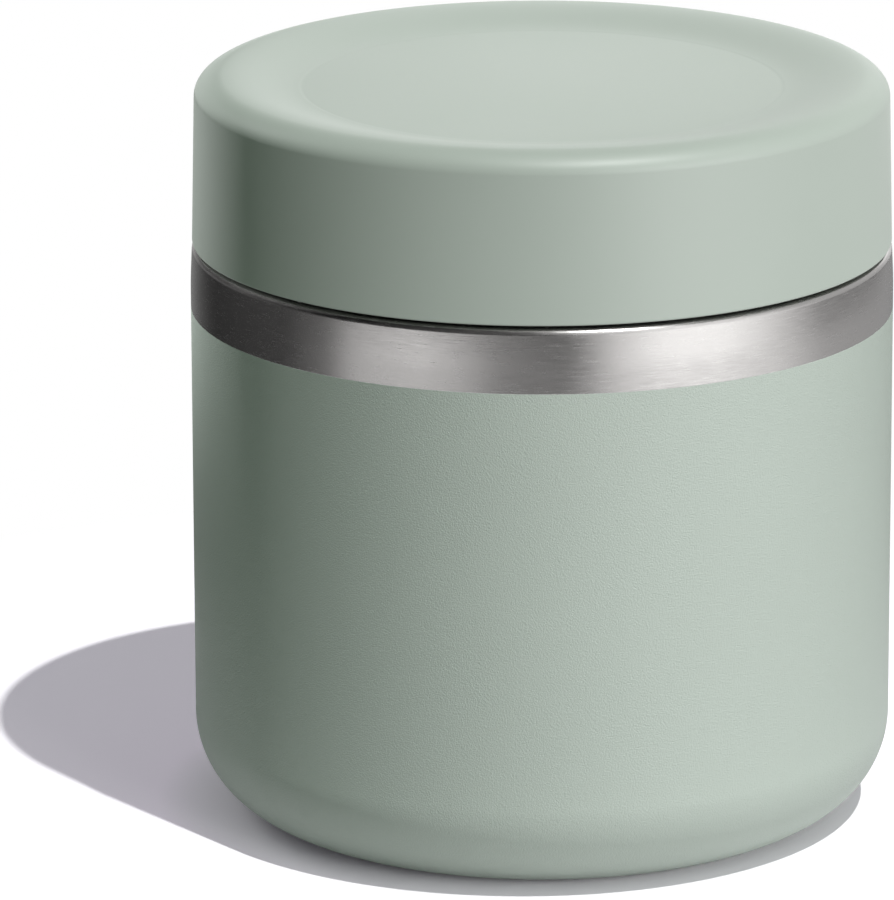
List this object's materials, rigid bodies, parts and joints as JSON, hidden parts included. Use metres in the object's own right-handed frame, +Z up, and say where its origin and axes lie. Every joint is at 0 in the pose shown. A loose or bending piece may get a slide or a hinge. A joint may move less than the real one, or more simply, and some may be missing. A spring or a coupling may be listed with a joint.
{
  "type": "insulated food jar",
  "caption": "Squat double-walled steel food jar with a coloured coat, a bare steel band, a threaded neck and an insulated screw lid with a dished top.",
  "frame": {"origin": "centre of the foot, on the surface that the jar stands on", "axes": "+Z up along the jar's axis, from the foot to the lid; +X and +Y are level, and +X passes through the getter"},
  "size_m": [0.115, 0.115, 0.1235],
  "materials": {
    "steel": "satin",
    "vessel_steel": "satin",
    "coat": "matte",
    "cover_plastic": "satin",
    "inner_plastic": "matte",
    "foam": "matte",
    "silicone": "matte",
    "foil": "polished",
    "solder": "matte",
    "getter_metal": "matte"
  },
  "bodies": {
    "jar": {"outer_shell": "steel", "powder_coat": "coat", "inner_liner": "vessel_steel", "heat_foil": "foil", "base_pan": "steel", "vacuum_seal": "solder", "base_cover": "steel", "getter": "getter_metal", "getter_clip": "steel"},
    "gasket": {"seal_ring": "silicone"},
    "lid": {"lid_cap": "cover_plastic", "lid_insert": "inner_plastic", "lid_foam": "foam", "lid_liner": "vessel_steel"}
  },
  "joints": [
    {"name": "lid_lift", "type": "slide", "parent": "jar", "child": "gasket", "axis": [0, 0, 1], "range_m": [0, 0.03]},
    {"name": "lid_turn", "type": "hinge", "parent": "gasket", "child": "lid", "pos_m": [0, 0, 0.112], "axis": [0, 0, 1], "range_deg": [0, 1080]}
  ],
  "couplings": [
    {"joint": "lid_lift", "follows": "lid_turn", "m_per_rad": 0.0015915}
  ]
}
